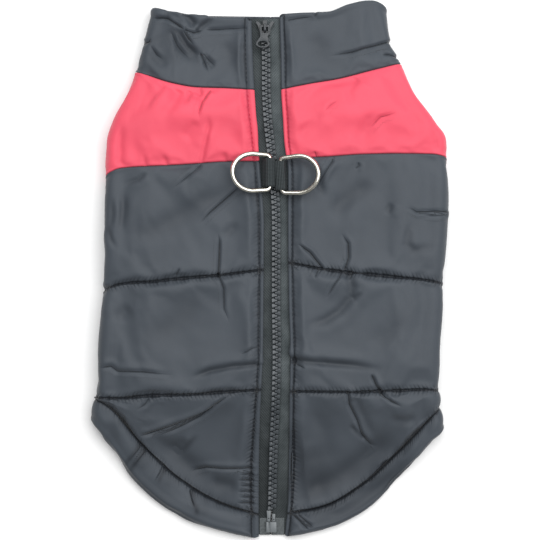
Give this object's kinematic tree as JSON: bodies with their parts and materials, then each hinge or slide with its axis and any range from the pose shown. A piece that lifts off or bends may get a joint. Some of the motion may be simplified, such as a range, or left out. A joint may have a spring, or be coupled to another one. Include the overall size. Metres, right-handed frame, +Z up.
{
  "type": "dog coat",
  "caption": "Padded sleeveless dog coat with a stand collar, a zip down its back and two lead rings, zipped up and laid flat on its belly.",
  "frame": {"origin": "under the middle of the outline, on the surface that the coat lies on", "axes": "+X to the coat's right as seen from above, +Y along the back towards the collar, +Z up out of the back"},
  "size_m": [0.2387, 0.3609, 0.0318],
  "materials": {
    "quilted_nylon": "dark grey-blue downproof nylon, slight sheen",
    "red_nylon": "coral red downproof nylon, slight sheen",
    "zip_tape": "woven polyester tape, matt",
    "webbing": "ribbed black polyester webbing, matt",
    "zip_plastic": "moulded acetal, dark grey",
    "ring_metal": "bright nickel plate"
  },
  "bodies": {
    "root": {"collar_left": "quilted_nylon", "collar_right": "quilted_nylon", "yoke_left": "red_nylon", "yoke_right": "red_nylon", "back_left": "quilted_nylon", "back_right": "quilted_nylon", "hem_left": "quilted_nylon", "hem_right": "quilted_nylon", "belly": "quilted_nylon", "belly_hem": "quilted_nylon", "leg_binding_left": "zip_tape", "leg_binding_right": "zip_tape", "zip_tape_left": "zip_tape", "zip_tape_right": "zip_tape", "zip_chain": "zip_plastic", "zip_box": "zip_plastic", "zip_slider": "zip_plastic", "ring_loop_left": "webbing", "ring_loop_right": "webbing"},
    "pull": {"zip_pull": "zip_plastic"},
    "left_ring": {"ring_left": "ring_metal"},
    "right_ring": {"ring_right": "ring_metal"}
  },
  "joints": [
    {"name": "pull_turn", "type": "hinge", "parent": "root", "child": "pull", "pos_m": [-0.00371, 0.16191, 0.01904], "axis": [-1, 0, 0], "range_deg": [0, 160]},
    {"name": "left_ring_turn", "type": "hinge", "parent": "root", "child": "left_ring", "pos_m": [-0.0004, 0.0643, 0.0237], "axis": [0, 1, 0], "range_deg": [0, 82]},
    {"name": "right_ring_turn", "type": "hinge", "parent": "root", "child": "right_ring", "pos_m": [0.0072, 0.0622, 0.0237], "axis": [0.0523, -0.9986, 0], "range_deg": [0, 79]}
  ]
}
